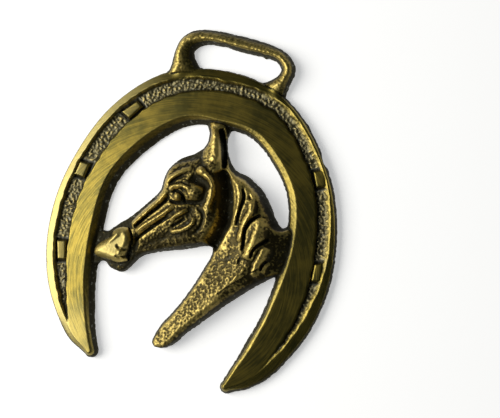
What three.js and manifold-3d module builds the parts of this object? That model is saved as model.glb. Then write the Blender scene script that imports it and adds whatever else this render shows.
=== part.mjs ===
// A cast horse brass: a horseshoe with a strap loop on top and a horse's head and neck in its
// opening, all one casting. Millimetres, +Z up. The flat back lies on z = 0 and the relief faces
// up. +Y points to the strap loop. Plan sizes are drawn from the middle of the horseshoe, and the
// whole casting is then centred on the origin.
import * as THREE from 'three';
import { mergeVertices } from 'three/addons/utils/BufferGeometryUtils.js';
import Module from 'manifold-3d';

const wasm = await Module();
wasm.setup();

// ---- Driving dimensions ----------------------------------------------------------------------

const EDGE_Z = 0.6;             // height of the cast edge all round, where the relief starts
const RIM_Z = 2.75;             // top of the horseshoe's outer rim
const GROOVE_Z = 1.8;           // floor of the nail groove
const WEB_Z = 3.25;             // top of the smooth web, at its inner edge
const WEB_FALL = 0.09;          // how much the web drops per millimetre towards the groove
const GROOVE_STEP = 0.45;       // width of the groove's sloping walls
const NOSE_LENGTH = 1.7;        // how far each rounded tip reaches past its last station
const NOSE_ANGLES = [28, 54, 76];
const SHOE_STATIONS = 70;

const LOOP_Z = 3.5;             // top of the strap loop's bar
const LOOP_FOOT_Z = 2.75;       // top of the bar where it runs into the rim
const LOOP_STATIONS = 40;

const NAIL_TOP_Z = 2.6;         // top of the nail heads in the groove
const NAIL_SHRINK = 0.8;        // a nail head's top, as a share of its foot

const GRID = 0.64;              // cell size of the head's relief
const WALL_SLOPE = 2.6;         // rise of the relief's side walls per millimetre
const WALL_FOOT = 0.9;
const BLEND = 0.5;              // how softly two swellings of the head run together

// The horseshoe from its left tip over the top to its right tip. Each station gives the outer and
// the inner edge, and the widths of the rim, the groove and the sloping inner wall.
const SHOE = [
  { outer: [-19.6, -23.5], inner: [-16.9, -21.2], rim: 1.3, groove: 0.0, wall: 1.0 },
  { outer: [-26.0, -19.1], inner: [-18.7, -16.2], rim: 2.0, groove: 0.0, wall: 1.6 },
  { outer: [-33.0, -7.6], inner: [-20.7, -5.6], rim: 2.6, groove: 2.9, wall: 2.6 },
  { outer: [-35.7, 6.0], inner: [-21.6, 6.5], rim: 2.5, groove: 3.8, wall: 3.0 },
  { outer: [-33.9, 20.9], inner: [-20.4, 19.4], rim: 2.2, groove: 4.2, wall: 2.8 },
  { outer: [-26.6, 37.3], inner: [-14.4, 29.4], rim: 2.3, groove: 3.9, wall: 2.6 },
  { outer: [-14.0, 48.6], inner: [-6.4, 36.2], rim: 2.6, groove: 3.6, wall: 2.2 },
  { outer: [3.0, 51.3], inner: [2.0, 37.4], rim: 2.9, groove: 2.2, wall: 1.3 },
  { outer: [18.6, 45.7], inner: [11.6, 35.2], rim: 1.5, groove: 3.5, wall: 1.5 },
  { outer: [31.0, 30.0], inner: [21.0, 24.6], rim: 1.4, groove: 3.3, wall: 1.8 },
  { outer: [35.8, 12.0], inner: [23.2, 11.8], rim: 2.0, groove: 3.1, wall: 2.2 },
  { outer: [34.3, -4.0], inner: [21.6, -2.6], rim: 2.6, groove: 2.2, wall: 1.9 },
  { outer: [27.9, -17.0], inner: [18.4, -13.2], rim: 2.6, groove: 0.6, wall: 2.0 },
  { outer: [22.4, -22.6], inner: [16.3, -19.2], rim: 2.0, groove: 0.0, wall: 1.4 },
  { outer: [17.6, -24.9], inner: [15.0, -22.5], rim: 1.3, groove: 0.0, wall: 0.9 },
];

// The strap loop's bar, from its left foot round to its right foot. ridge says where the bar is
// highest, from 0 at its outer edge to 1 at the slot.
const LOOP = [
  { outer: [-14.3, 47.8], inner: [-5.4, 50.2], ridge: 0.42 },
  { outer: [-13.6, 50.3], inner: [-7.2, 51.9], ridge: 0.42 },
  { outer: [-13.4, 54.0], inner: [-8.4, 54.2], ridge: 0.42 },
  { outer: [-12.3, 57.6], inner: [-7.7, 55.9], ridge: 0.45 },
  { outer: [-9.3, 60.1], inner: [-5.6, 57.0], ridge: 0.6 },
  { outer: [-4.5, 60.8], inner: [-3.0, 57.2], ridge: 0.68 },
  { outer: [2.0, 60.6], inner: [2.5, 56.7], ridge: 0.68 },
  { outer: [8.7, 59.9], inner: [8.0, 56.3], ridge: 0.65 },
  { outer: [13.4, 58.7], inner: [11.5, 55.9], ridge: 0.6 },
  { outer: [16.5, 56.2], inner: [13.1, 54.9], ridge: 0.5 },
  { outer: [17.2, 53.6], inner: [13.6, 53.4], ridge: 0.4 },
  { outer: [16.7, 51.2], inner: [12.6, 51.8], ridge: 0.4 },
  { outer: [15.9, 47.6], inner: [10.0, 49.8], ridge: 0.4 },
];

// Nail heads: place in the groove, as a share of the way along the horseshoe, and size.
const NAILS = [
  { along: 0.183, length: 4.4, width: 2.3 },
  { along: 0.292, length: 3.6, width: 2.8 },
  { along: 0.376, length: 4.4, width: 3.0 },
  { along: 0.66, length: 4.4, width: 2.8 },
  { along: 0.737, length: 4.6, width: 2.4 },
];

// Plan outline of the head and neck. It runs on into the horseshoe at the muzzle, the ear and the
// mane, where the metal is joined.
const HEAD_OUTLINE = [
  [-23.0, 8.2], [-19.6, 9.6], [-16.4, 11.8], [-11.9, 16.3], [-9.7, 19.4], [-9.4, 22.4],
  [-8.5, 25.4], [-6.2, 28.1], [-3.0, 30.0], [-0.9, 32.2], [-0.5, 35.0], [-1.2, 38.5],
  [4.2, 38.5], [4.3, 34.0], [5.6, 30.4], [7.9, 27.7], [13.8, 25.3], [19.0, 19.8],
  [22.6, 17.6], [25.0, 16.5], [25.0, 5.0], [22.6, 4.6], [16.0, -1.2], [10.9, -6.0],
  [6.4, -10.8], [2.4, -15.6], [-0.4, -17.9], [-3.2, -18.0], [-3.9, -16.4], [-2.0, -12.4],
  [3.0, -2.4], [4.9, 3.4], [6.1, 6.6], [4.6, 8.0], [1.5, 7.0], [-8.4, 3.6], [-11.2, 1.8],
  [-13.2, -0.9], [-16.1, -2.3], [-19.0, -0.9], [-22.5, -1.5],
];

// The large swellings. Each runs along a path of [x, y, radius, height] with a round section:
// fullness 0.5 is half an ellipse, and less is fuller.
const FACE_FORMS = [
  { // muzzle
    fullness: 0.45,
    path: [[-18.6, 3.6, 3.6, 5.2], [-16.4, 4.6, 4.6, 6.2], [-13.6, 6.6, 4.6, 6.1]],
  },
  { // nose
    fullness: 0.4,
    path: [[-14.5, 6.0, 4.6, 5.6], [-9.0, 10.4, 6.0, 5.8], [-3.0, 14.6, 7.5, 6.6]],
  },
  { // jaw and cheek
    fullness: 0.45,
    path: [[-12.5, 3.2, 4.0, 3.6], [-6.0, 7.2, 5.5, 4.6], [0.0, 10.6, 7.5, 6.2], [3.0, 14.0, 8.5, 6.8]],
  },
  { // skull
    fullness: 0.4,
    path: [[-3.0, 20.0, 8.0, 6.4], [1.0, 21.5, 8.5, 6.6]],
  },
];
const EAR = {
  fullness: 0.6,
  path: [[2.5, 26.0, 4.6, 6.2], [2.0, 31.0, 3.6, 5.4], [1.4, 38.0, 2.8, 3.6]],
};
const NECK = {
  fullness: 0.55,
  path: [
    [11.5, 24.0, 7.5, 5.4], [13.0, 17.0, 9.5, 6.6], [11.0, 9.5, 10.0, 7.2],
    [6.6, 1.0, 7.8, 6.6], [2.6, -8.0, 5.2, 5.4], [-1.0, -16.0, 3.0, 3.6],
  ],
};

// Ridges and grooves. left and right are the widths of the two flanks as the path is followed, a
// negative height cuts in, and taper is the share of the path over which each end fades.
const VALLEY = [ // the deep valley between the jaw and the neck
  {
    left: 2.6, right: 1.8, height: -3.2, taper: 0.1,
    path: [[6.0, 28.0], [6.8, 24.5], [8.0, 21.0], [9.0, 17.6], [8.7, 13.9], [7.8, 10.8], [6.4, 7.6]],
  },
];
const EYE_AND_FORELOCK = [
  { // temple hollow
    left: 2.6, right: 2.6, height: -1.6, taper: 0.35,
    path: [[-3.4, 23.6], [-0.4, 23.4], [1.8, 21.4]],
  },
  { // forelock roll
    left: 1.3, right: 0.9, height: 0.9, taper: 0.25,
    path: [[-8.4, 20.2], [-7.0, 22.6], [-4.6, 25.0], [-1.6, 26.6]],
  },
  { // roll that runs down behind the eye
    left: 1.0, right: 1.5, height: 1.5, taper: 0.12,
    path: [[-1.4, 27.2], [1.2, 25.2], [3.0, 23.4], [4.2, 21.2], [4.2, 19.2], [3.8, 17.6], [4.4, 16.2]],
  },
  { // brow
    left: 0.9, right: 0.9, height: 1.0, taper: 0.25,
    path: [[-6.4, 19.8], [-5.0, 20.9], [-3.2, 20.3], [-2.0, 18.8]],
  },
  { // crease under the eye
    left: 0.9, right: 0.7, height: -1.4, taper: 0.15,
    path: [[-3.6, 16.6], [-2.0, 17.4], [0.2, 17.1], [2.4, 17.4], [3.6, 18.2]],
  },
];
const CHEEK_BARS = [
  { // nasal bone
    left: 0.7, right: 1.0, height: 1.1, taper: 0.12,
    path: [[-6.3, 19.4], [-10.5, 14.5], [-14.4, 9.8]],
  },
  { // hollow under it
    left: 0.7, right: 0.8, height: -1.3, taper: 0.15,
    path: [[-6.0, 18.0], [-10.1, 13.9], [-12.2, 11.6]],
  },
  { // upper bar
    left: 0.9, right: 1.2, height: 1.1, taper: 0.15,
    path: [[-4.4, 16.3], [-9.4, 11.8], [-13.2, 8.6]],
  },
  { // hollow under the upper bar
    left: 0.9, right: 0.9, height: -1.1, taper: 0.15,
    path: [[-4.6, 14.4], [-9.3, 10.0], [-12.0, 7.6]],
  },
  { // middle bar
    left: 0.9, right: 1.2, height: 1.2, taper: 0.25,
    path: [[-0.4, 15.8], [-2.8, 14.2], [-4.8, 12.0]],
  },
  { // hollow under the middle bar
    left: 0.8, right: 0.8, height: -1.0, taper: 0.25,
    path: [[0.4, 14.4], [-2.0, 12.6], [-4.4, 10.6]],
  },
  { // lower bar
    left: 0.9, right: 1.2, height: 1.0, taper: 0.25,
    path: [[1.4, 13.6], [-1.2, 11.2], [-3.9, 9.5]],
  },
];
const MUZZLE_CUTS = [
  { // step behind the muzzle
    left: 1.0, right: 1.2, height: -1.2, taper: 0.2,
    path: [[-12.8, 8.6], [-12.0, 6.0], [-12.2, 3.6]],
  },
  { // nostril
    left: 0.6, right: 0.6, height: -1.0, taper: 0.2,
    path: [[-16.8, 4.4], [-15.4, 3.0], [-13.6, 3.2]],
  },
  { // mouth
    left: 0.6, right: 0.6, height: -0.9, taper: 0.25,
    path: [[-17.3, 2.2], [-16.0, 1.5], [-14.4, 1.9]],
  },
];
const MANE_LOCKS = [
  {
    left: 1.0, right: 1.1, height: 1.0, taper: 0.25,
    path: [[7.4, 26.2], [10.0, 22.6], [11.3, 19.2], [11.0, 16.7], [10.9, 13.6]],
  },
  {
    left: 1.3, right: 1.0, height: 1.2, taper: 0.25,
    path: [[13.3, 23.0], [14.4, 20.2], [13.7, 17.5], [12.5, 10.6]],
  },
  { left: 1.3, right: 1.0, height: 1.2, taper: 0.25, path: [[17.1, 18.3], [16.2, 12.4], [15.4, 6.0]] },
  { left: 1.2, right: 1.0, height: 1.0, taper: 0.25, path: [[19.6, 12.0], [18.2, 8.9], [17.5, 2.8]] },
  { left: 0.9, right: 0.8, height: 0.7, taper: 0.25, path: [[20.8, 7.8], [20.3, 6.0], [19.6, 4.3]] },
];
const MANE_CUTS = [
  { left: 0.9, right: 0.9, height: -1.4, taper: 0.25, path: [[10.6, 24.4], [12.4, 20.6], [12.0, 16.8]] },
  { left: 0.8, right: 0.9, height: -1.6, taper: 0.25, path: [[17.4, 18.9], [15.2, 16.2], [13.8, 9.2]] },
  { left: 0.8, right: 0.8, height: -1.4, taper: 0.25, path: [[19.8, 12.6], [17.2, 10.3], [16.6, 7.0]] },
];
const CARVING = [
  ...VALLEY, ...EYE_AND_FORELOCK, ...CHEEK_BARS, ...MUZZLE_CUTS, ...MANE_LOCKS, ...MANE_CUTS,
];

// Round swellings: the eyeball, the bone behind it, and the nostril.
const KNOBS = [
  { at: [-4.0, 18.3], radius: 1.5, height: 1.7 },
  { at: [-0.2, 20.0], radius: 3.3, height: 1.7 },
  { at: [-14.5, 5.0], radius: 1.9, height: 0.9 },
];

// ---- Curves and values along them ------------------------------------------------------------

const { clamp, lerp, smoothstep } = THREE.MathUtils;

// Points of a smooth curve through the given plan points.
function samplePoints(points, count, closed = false) {
  const places = points.map(([x, y]) => new THREE.Vector3(x, y, 0));
  const curve = new THREE.CatmullRomCurve3(places, closed, 'catmullrom', 0.5);
  const sampled = curve.getPoints(count);
  return closed ? sampled.slice(0, -1) : sampled;
}

// A value that is given at evenly spaced stations, read at 0..1 along them.
function valueAlong(values, along) {
  const place = along * (values.length - 1);
  const index = Math.min(Math.floor(place), values.length - 2);
  return lerp(values[index], values[index + 1], place - index);
}

// The nearest place on a chain of points: its distance, its share of the way along, and whether
// the asking point lies left of the chain as it is followed.
function nearestOnChain(x, y, chain) {
  const nearest = { distance: Infinity, along: 0, onLeft: true };
  for (let i = 0; i + 1 < chain.length; i += 1) {
    const start = chain[i];
    const dx = chain[i + 1].x - start.x;
    const dy = chain[i + 1].y - start.y;
    const share = clamp(((x - start.x) * dx + (y - start.y) * dy) / (dx * dx + dy * dy), 0, 1);
    const offX = x - start.x - share * dx;
    const offY = y - start.y - share * dy;
    const distance = Math.hypot(offX, offY);
    if (distance < nearest.distance) {
      nearest.distance = distance;
      nearest.along = (i + share) / (chain.length - 1);
      nearest.onLeft = dx * offY - dy * offX > 0;
    }
  }
  return nearest;
}

function isInside(x, y, outline) {
  let inside = false;
  for (let i = 0; i < outline.length; i += 1) {
    const a = outline[i];
    const b = outline[(i + 1) % outline.length];
    const crosses = (a.y > y) !== (b.y > y);
    if (crosses && x < a.x + ((b.x - a.x) * (y - a.y)) / (b.y - a.y)) {
      inside = !inside;
    }
  }
  return inside;
}

// ---- Solids ----------------------------------------------------------------------------------

function geometryOf(positions, faces) {
  const geometry = new THREE.BufferGeometry();
  geometry.setAttribute('position', new THREE.Float32BufferAttribute(positions, 3));
  geometry.setIndex(faces);
  return geometry;
}

function solidOf(geometry) {
  const bare = geometry.clone();
  bare.deleteAttribute('normal');
  bare.deleteAttribute('uv');
  const merged = mergeVertices(bare);
  return new wasm.Manifold(new wasm.Mesh({
    numProp: 3,
    vertProperties: merged.getAttribute('position').array,
    triVerts: Uint32Array.from(merged.getIndex().array),
  }));
}

// Joins a row of sections into a closed solid. Each section starts at its outer foot, goes over
// the top and ends at its inner foot, and all have the same number of points.
function loft(sections) {
  const size = sections[0].length;
  const positions = sections.flat().flatMap((point) => [point.x, point.y, point.z]);
  const faces = [];
  for (let row = 0; row + 1 < sections.length; row += 1) {
    for (let k = 0; k < size; k += 1) {
      const a = row * size + k;
      const b = row * size + ((k + 1) % size);
      faces.push(a, b, b + size, a, b + size, a + size);
    }
  }
  const last = (sections.length - 1) * size;
  for (const [a, b, c] of capFaces(sections[0])) {
    faces.push(a, b, c);
  }
  for (const [a, b, c] of capFaces(sections.at(-1))) {
    faces.push(last + a, last + c, last + b);
  }
  return solidOf(geometryOf(positions, faces));
}

function capFaces(section) {
  const foot = section[0];
  const flat = section.map((point) => {
    const across = Math.hypot(point.x - foot.x, point.y - foot.y);
    return new THREE.Vector2(across, point.z);
  });
  return THREE.ShapeUtils.triangulateShape(flat, []);
}

// Lays a profile of [distance, height] out from a starting point in the direction across.
function layAcross(start, across, profile) {
  return profile.map(([distance, z]) => {
    const point = start.clone().addScaledVector(across, distance);
    point.z = z;
    return point;
  });
}

// ---- Horseshoe -------------------------------------------------------------------------------

const shoeOuter = samplePoints(SHOE.map((station) => station.outer), SHOE_STATIONS);
const shoeInner = samplePoints(SHOE.map((station) => station.inner), SHOE_STATIONS);

function shoeWidths(along) {
  return {
    rim: valueAlong(SHOE.map((station) => station.rim), along),
    groove: valueAlong(SHOE.map((station) => station.groove), along),
    wall: valueAlong(SHOE.map((station) => station.wall), along),
  };
}

// Bevel, rim, groove, web and sloping inner wall. The groove's floor rises to the web where the
// groove runs out.
function shoeProfile(along, width) {
  const { rim, groove, wall } = shoeWidths(along);
  const open = smoothstep(groove, 0, 1.2);
  const step = Math.min(GROOVE_STEP, groove / 3);
  const webStart = rim + groove + 0.05;
  const webEnd = width - wall;
  const webOuterZ = WEB_Z - WEB_FALL * (webEnd - webStart);
  const rimZ = lerp(webOuterZ, RIM_Z, open);
  const floorZ = lerp(webOuterZ, GROOVE_Z, open);
  return [
    [0, 0],
    [0, EDGE_Z],
    [0.3 * rim, lerp(EDGE_Z, rimZ, 0.55)],
    [0.65 * rim, lerp(EDGE_Z, rimZ, 0.88)],
    [rim, rimZ],
    [rim + step, floorZ],
    [webStart - step, floorZ],
    [webStart, webOuterZ],
    [webEnd, WEB_Z],
    [webEnd + 0.35 * wall, lerp(EDGE_Z, WEB_Z, 0.86)],
    [webEnd + 0.8 * wall, lerp(EDGE_Z, WEB_Z, 0.36)],
    [width, EDGE_Z],
    [width, 0],
  ];
}

// The section at one station. Past a tip, angle rounds it off and onward says which way it goes.
function shoeSection(index, angle = 0, onward = 0) {
  const outer = shoeOuter[index];
  const inner = shoeInner[index];
  const across = new THREE.Vector3().subVectors(inner, outer).normalize();
  const reach = onward * NOSE_LENGTH * Math.sin(angle);
  const shift = new THREE.Vector3(-across.y, across.x, 0).multiplyScalar(reach);
  const spread = Math.cos(angle);
  const start = outer.clone().lerp(inner, (1 - spread) / 2).add(shift);
  const profile = shoeProfile(index / SHOE_STATIONS, outer.distanceTo(inner));
  const rounded = profile.map(([distance, z]) => [distance * spread, z * Math.sqrt(spread)]);
  return layAcross(start, across, rounded);
}

function horseshoe() {
  const angles = NOSE_ANGLES.map(THREE.MathUtils.degToRad);
  const leftTip = angles.map((angle) => shoeSection(0, angle, -1)).reverse();
  const rightTip = angles.map((angle) => shoeSection(SHOE_STATIONS, angle, 1));
  const body = shoeOuter.map((_, index) => shoeSection(index));
  return loft([...leftTip, ...body, ...rightTip]);
}

// ---- Strap loop ------------------------------------------------------------------------------

function strapLoop() {
  const outerEdge = samplePoints(LOOP.map((station) => station.outer), LOOP_STATIONS);
  const slotEdge = samplePoints(LOOP.map((station) => station.inner), LOOP_STATIONS);
  const ridges = LOOP.map((station) => station.ridge);
  const sections = outerEdge.map((outer, i) => {
    const along = i / LOOP_STATIONS;
    const width = outer.distanceTo(slotEdge[i]);
    const across = new THREE.Vector3().subVectors(slotEdge[i], outer).normalize();
    const ridge = valueAlong(ridges, along) * width;
    const top = lerp(LOOP_FOOT_Z, LOOP_Z, smoothstep(Math.min(along, 1 - along), 0, 0.12));
    return layAcross(outer, across, [
      [0, 0],
      [0, EDGE_Z],
      [0.18 * ridge, lerp(EDGE_Z, top, 0.45)],
      [0.5 * ridge, lerp(EDGE_Z, top, 0.85)],
      [ridge, top],
      [lerp(ridge, width, 0.45), lerp(EDGE_Z, top, 0.84)],
      [lerp(ridge, width, 0.85), lerp(EDGE_Z, top, 0.42)],
      [width, EDGE_Z],
      [width, 0],
    ]);
  });
  return loft(sections);
}

// ---- Nail heads ------------------------------------------------------------------------------

// A block with a slightly smaller top, set in the groove and turned along it.
function nailHead({ along, length, width }) {
  const { rim, groove } = shoeWidths(along);
  const index = Math.round(along * SHOE_STATIONS);
  const outer = shoeOuter[index];
  const inner = shoeInner[index];
  const across = new THREE.Vector3().subVectors(inner, outer).normalize();
  const middle = outer.clone().addScaledVector(across, rim + groove / 2);
  const block = new THREE.BoxGeometry(width, length, NAIL_TOP_Z - EDGE_Z);
  const place = block.getAttribute('position');
  for (let i = 0; i < place.count; i += 1) {
    const share = place.getZ(i) > 0 ? NAIL_SHRINK : 1;
    place.setXY(i, place.getX(i) * share, place.getY(i) * share);
  }
  block.rotateZ(Math.atan2(across.y, across.x));
  block.translate(middle.x, middle.y, (NAIL_TOP_Z + EDGE_Z) / 2);
  return solidOf(block);
}

// ---- Horse's head and neck -------------------------------------------------------------------

// A rounded swelling along a path.
function swelling({ path, fullness }) {
  const samples = 6 * (path.length - 1);
  const chain = samplePoints(path, samples);
  const radii = samplePoints(path.map(([, , radius, height]) => [radius, height]), samples);
  return (x, y) => {
    const { distance, along } = nearestOnChain(x, y, chain);
    const radius = valueAlong(radii.map((pair) => pair.x), along);
    const height = valueAlong(radii.map((pair) => pair.y), along);
    return height * clamp(1 - (distance / radius) ** 2, 0, 1) ** fullness;
  };
}

// A ridge or groove along a path, with its own width on each flank.
function carved({ path, left, right, height, taper }) {
  const chain = samplePoints(path, 6 * (path.length - 1));
  return (x, y) => {
    const { distance, along, onLeft } = nearestOnChain(x, y, chain);
    const flank = clamp(1 - (distance / (onLeft ? left : right)) ** 2, 0, 1);
    const ends = clamp(Math.min(along, 1 - along) / taper, 0, 1);
    return height * flank * flank * ends;
  };
}

function knob({ at, radius, height }) {
  return (x, y) => height * clamp(1 - (Math.hypot(x - at[0], y - at[1]) / radius) ** 2, 0, 1) ** 2;
}

// The larger of two heights, run together softly.
function softMax(a, b, softness) {
  return (a + b + Math.hypot(a - b, softness)) / 2;
}

const headOutline = samplePoints(HEAD_OUTLINE, 4 * HEAD_OUTLINE.length, true);
const faceSwellings = FACE_FORMS.map(swelling);
const ear = swelling(EAR);
const neck = swelling(NECK);
const carvings = [...CARVING.map(carved), ...KNOBS.map(knob)];

// Height of the head and neck over a plan point, with steep walls down to the outline.
function headHeight(x, y) {
  const face = faceSwellings.map((height) => height(x, y)).reduce((a, b) => softMax(a, b, BLEND));
  let z = Math.max(softMax(face, neck(x, y), BLEND), ear(x, y));
  for (const cut of carvings) {
    z += cut(x, y);
  }
  const { distance } = nearestOnChain(x, y, [...headOutline, headOutline[0]]);
  const depth = isInside(x, y, headOutline) ? distance : 0;
  const wall = WALL_FOOT + WALL_SLOPE * depth;
  return Math.max(WALL_FOOT, -softMax(-z, -wall, BLEND));
}

// A closed block over the head's whole extent, with the relief as its top.
function reliefBlock() {
  const extent = new THREE.Box3().setFromPoints(headOutline).expandByScalar(GRID);
  const columns = Math.ceil((extent.max.x - extent.min.x) / GRID);
  const rows = Math.ceil((extent.max.y - extent.min.y) / GRID);
  const block = new THREE.BoxGeometry(columns * GRID, rows * GRID, 2, columns, rows, 1);
  block.translate(extent.min.x + (columns * GRID) / 2, extent.min.y + (rows * GRID) / 2, 0);
  const place = block.getAttribute('position');
  for (let i = 0; i < place.count; i += 1) {
    if (place.getZ(i) > 0) {
      place.setZ(i, headHeight(place.getX(i), place.getY(i)));
    }
  }
  return solidOf(block);
}

function headAndNeck() {
  const shape = new THREE.Shape(headOutline.map((point) => new THREE.Vector2(point.x, point.y)));
  const prism = new THREE.ExtrudeGeometry(shape, { depth: 12, bevelEnabled: false });
  return reliefBlock().intersect(solidOf(prism));
}

// ---- The casting -----------------------------------------------------------------------------

function castingGeometry() {
  let casting = horseshoe().add(strapLoop()).add(headAndNeck());
  for (const nail of NAILS) {
    casting = casting.add(nailHead(nail));
  }
  const mesh = casting.getMesh();
  const geometry = geometryOf(Array.from(mesh.vertProperties), Array.from(mesh.triVerts));
  geometry.computeBoundingBox();
  const middle = geometry.boundingBox.getCenter(new THREE.Vector3());
  geometry.translate(-middle.x, -middle.y, 0);
  geometry.computeVertexNormals();
  return geometry;
}

const brass = new THREE.MeshStandardMaterial({ color: 0x9c8436, roughness: 0.38, metalness: 1.0 });
const casting = new THREE.Mesh(castingGeometry(), brass);
casting.name = 'horse_brass';

const horseBrass = new THREE.Group();
horseBrass.add(casting);

export default horseBrass;
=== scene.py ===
"""A cast horse brass lying on a table: a horseshoe with a strap loop and a horse's head and neck in
its opening. The casting is one closed mesh over a fine grid of heights, with cast grain, worn high
spots and dark patina in its hollows. Plan sizes are in millimetres from the middle of the
horseshoe, +Y to the strap loop."""

import math

import bpy
import numpy as np
from mathutils import Matrix, Vector
from mathutils.geometry import delaunay_2d_cdt


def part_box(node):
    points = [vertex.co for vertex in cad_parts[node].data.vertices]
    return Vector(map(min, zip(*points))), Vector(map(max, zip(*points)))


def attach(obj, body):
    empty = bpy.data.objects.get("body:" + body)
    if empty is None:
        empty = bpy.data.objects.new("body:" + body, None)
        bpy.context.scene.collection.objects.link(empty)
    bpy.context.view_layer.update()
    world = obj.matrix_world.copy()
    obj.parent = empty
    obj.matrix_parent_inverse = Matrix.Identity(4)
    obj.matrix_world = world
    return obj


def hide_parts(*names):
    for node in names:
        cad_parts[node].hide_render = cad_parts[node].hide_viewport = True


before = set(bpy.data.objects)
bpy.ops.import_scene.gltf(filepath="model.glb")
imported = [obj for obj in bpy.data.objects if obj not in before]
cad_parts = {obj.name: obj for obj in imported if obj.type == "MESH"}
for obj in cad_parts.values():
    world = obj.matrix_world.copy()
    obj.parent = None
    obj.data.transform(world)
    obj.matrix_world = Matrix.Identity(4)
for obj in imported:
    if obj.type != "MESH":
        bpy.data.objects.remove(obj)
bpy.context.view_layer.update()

# ---- Sizes in millimetres -------------------------------------------------------------------

STEP = 0.2            # distance between grid points
EDGE_Z = 0.6          # height of the cast edge all round
RIM_Z = 2.75          # top of the horseshoe's outer rim, at its inner edge
GROOVE_Z = 1.75       # floor of the nail groove
SLOT_Z = 1.3          # floor round a nail head
WEB_Z = 3.25          # top of the smooth web, at its inner edge
WEB_FALL = 0.12       # drop of the web per millimetre towards the groove
NAIL_Z = 2.6
LOOP_Z = 3.5
NOSE_LENGTH = 1.7     # how far the rounded tips reach past the last stations
CREST_ROUND = 1.2     # radius of the neck's rounded crest
HEAD_FLOOR = 1.6      # lowest level inside the head's outline
BEVEL_Z, BEVEL = 0.9, 2.6   # foot and rise per millimetre of the head's edges facing up and left
LOWER_RIGHT = (0.77, -0.64) # the way the other edges face
ROLL_Z = 1.0                # foot, width and height over which its other edges roll down
ROLL_WIDTH, ROLL_HEIGHT = 3.0, 5.5
GROOVE_WALL = (0.65, 1.7)   # reach of the groove's outer wall on the left and the right arm,
GROOVE_LIP = 0.3            # and how far out on the rim it starts
RIGHT_ARM = (8, 20)         # x over which the left arm's shapes turn into the right arm's
LEFT_ARM = (-8, -26)        # x over which painted light brightens the left arm
LEFT_TIP = (-8, -20)        # y over which painted light makes its tip paler
WEB_EDGE = (-0.35, 0.25)    # the groove's other wall, from its outer edge
RIM_STEP = 0.45             # width of the rim's steep outer part
CHAMFER = 0.5               # fall per millimetre of the chamfer between inner wall and web
TIP_ROUND = 1.6             # width over which the horseshoe's outline is rounded down
SLOT_MARGIN = 0.6           # width of the sunk floor round a nail head
PALE_MARGIN = 0.55          # where the slots' pale end walls are, from the nail head
NAIL_SIDE = 4               # rise per millimetre of a nail head's sides
OUTSIDE = -9.0              # a height below everything

# Blur radius and full height, for where dirt gathers and where the surface wears.
DIRT_SCALES = ((0.5, 0.25), (1.2, 0.6), (2.6, 1.4))
WEAR_SCALES = ((0.4, 0.10), (1.2, 0.5))
# Irregular surfaces: seed, size of the features and their height.
ROUGHNESS = {
    "rim line": (11, 2.2, 0.09),
    "groove": (3, 0.6, 0.085),
    "skin": (4, 0.5, 0.038),
    "lumps": (5, 1.3, 0.03),
    "ragged edge": (21, 0.8, 0.05),
    "wavy edge": (22, 2.5, 0.03),
}
EDGE_LOSS = (0.05, 0.2)     # mean and greatest loss from the outline
# How much cast skin shows on each part, and how brightly each place is painted.
SKIN = {"head": 1.0, "loop": 0.7, "inner wall": 0.35}
SKIN_WORN_OFF = 0.6         # share gone from the muzzle and the nail heads
# painted light from the left on the left rim, tip and nails; the muzzle rubbed and painted lit
LIT_AND_RUBBED = {"muzzle": 0.9, "left rim": 0.85, "left tip and nails": 0.35}

# The horseshoe from its left tip over the top to its right tip: outer edge, inner edge, widths of
# the rim, the groove and the inner wall, and the width of the wall's steep foot.
SHOE = np.array([
    (-19.6, -23.5, -16.9, -21.2, 1.3, 0.0, 1.0, 0.5),
    (-26.0, -19.1, -18.7, -16.2, 2.0, 0.0, 1.7, 1.2),
    (-33.0, -7.6, -20.9, -5.6, 2.6, 2.9, 2.4, 2.2),
    (-35.7, 6.0, -21.9, 6.5, 2.5, 3.5, 2.5, 2.3),
    (-33.9, 20.9, -20.8, 19.4, 2.3, 3.8, 2.4, 2.2),
    (-26.6, 37.3, -14.4, 29.4, 2.3, 4.1, 2.6, 2.3),
    (-14.0, 48.6, -6.4, 36.2, 2.5, 3.8, 2.2, 1.8),
    (3.0, 51.3, 2.0, 37.4, 2.9, 2.5, 1.4, 1.0),
    (18.6, 45.7, 11.6, 35.2, 1.2, 3.2, 2.0, 0.3),
    (31.0, 30.0, 21.0, 24.6, 1.0, 3.4, 2.2, 0.4),
    (35.8, 12.0, 23.2, 11.8, 1.6, 3.4, 2.4, 0.8),
    (34.3, -4.0, 21.6, -2.6, 2.6, 2.0, 1.9, 1.3),
    (27.9, -17.0, 18.4, -13.2, 2.6, 0.6, 2.0, 1.4),
    (22.4, -22.6, 16.3, -19.2, 2.0, 0.0, 1.4, 0.8),
    (17.6, -24.9, 15.0, -22.5, 1.3, 0.0, 0.9, 0.5),
])
# The strap loop's bar from its left foot to its right foot: outer edge, slot edge, and where the
# bar is highest, from 0 at its outer edge to 1 at the slot.
LOOP = np.array([
    (-14.3, 47.8, -5.4, 50.2, 0.36),
    (-13.6, 50.3, -7.2, 51.9, 0.36),
    (-13.4, 54.0, -8.4, 54.2, 0.36),
    (-12.3, 57.6, -7.7, 55.9, 0.40),
    (-9.3, 60.1, -5.6, 57.0, 0.60),
    (-4.5, 60.8, -3.0, 57.2, 0.72),
    (2.0, 60.6, 2.5, 56.7, 0.74),
    (8.7, 59.9, 8.0, 56.3, 0.72),
    (13.4, 58.7, 11.5, 55.9, 0.66),
    (16.5, 56.2, 13.1, 54.9, 0.52),
    (17.2, 53.6, 13.6, 53.4, 0.40),
    (16.7, 51.2, 12.6, 51.8, 0.40),
    (15.9, 47.6, 10.0, 49.8, 0.40),
])
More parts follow.
